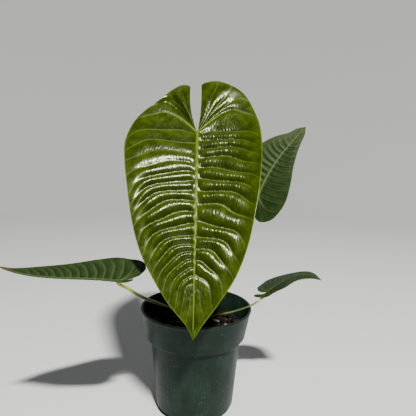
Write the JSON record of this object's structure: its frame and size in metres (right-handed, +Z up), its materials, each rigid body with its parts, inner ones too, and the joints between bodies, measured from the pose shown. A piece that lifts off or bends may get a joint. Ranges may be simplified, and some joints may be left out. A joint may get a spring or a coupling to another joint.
{
  "type": "potted anthurium",
  "caption": "Young tropical foliage plant in a round nursery pot: large heart-shaped pleated leaves on slender stalks over bark mix.",
  "frame": {"origin": "centre of the pot's flat underside, where it stands on the surface", "axes": "+Z up along the pot's axis; -Y is the front, where the largest leaf hangs over the rim; +X to the right seen from the front"},
  "size_m": [0.2731, 0.1524, 0.3338],
  "materials": {
    "pot": "satin moulded plastic, dark green, dusty",
    "potting_mix": "damp, crumbled bark and fibre, matt",
    "crown": "green stem with corky rings, satin",
    "young_leaf": "glossy, bright yellow-green, pleated",
    "mature_leaf": "satin, dark green, pleated",
    "petiole": "satin, yellow-green, smooth",
    "dry_sheath": "dry, papery, fibrous",
    "aerial_root": "velvety, pale tan, matt",
    "bark": "rough reddish brown bark",
    "pumice": "pitted, pale, matt"
  },
  "bodies": {
    "root": {"aerial_root_1": "aerial_root", "aerial_root_2": "aerial_root", "bark_chip_01": "bark", "bark_chip_02": "bark", "bark_chip_03": "bark", "bark_chip_04": "bark", "bark_chip_05": "bark", "bark_chip_06": "bark", "bark_chip_07": "bark", "bark_chip_08": "bark", "bark_chip_09": "bark", "bark_chip_10": "bark", "bark_chip_11": "bark", "bark_chip_12": "bark", "cataphyll_1": "dry_sheath", "cataphyll_2": "dry_sheath", "cataphyll_3": "dry_sheath", "crown": "crown", "leaf_back": "mature_leaf", "leaf_front": "young_leaf", "leaf_left": "mature_leaf", "leaf_right": "mature_leaf", "nursery_pot": "pot", "petiole_back": "petiole", "petiole_front": "petiole", "petiole_left": "petiole", "petiole_right": "petiole", "potting_mix": "potting_mix", "pumice_grain_1": "pumice", "pumice_grain_2": "pumice", "pumice_grain_3": "pumice", "pumice_grain_4": "pumice", "pumice_grain_5": "pumice", "pumice_grain_6": "pumice"}
  },
  "joints": []
}
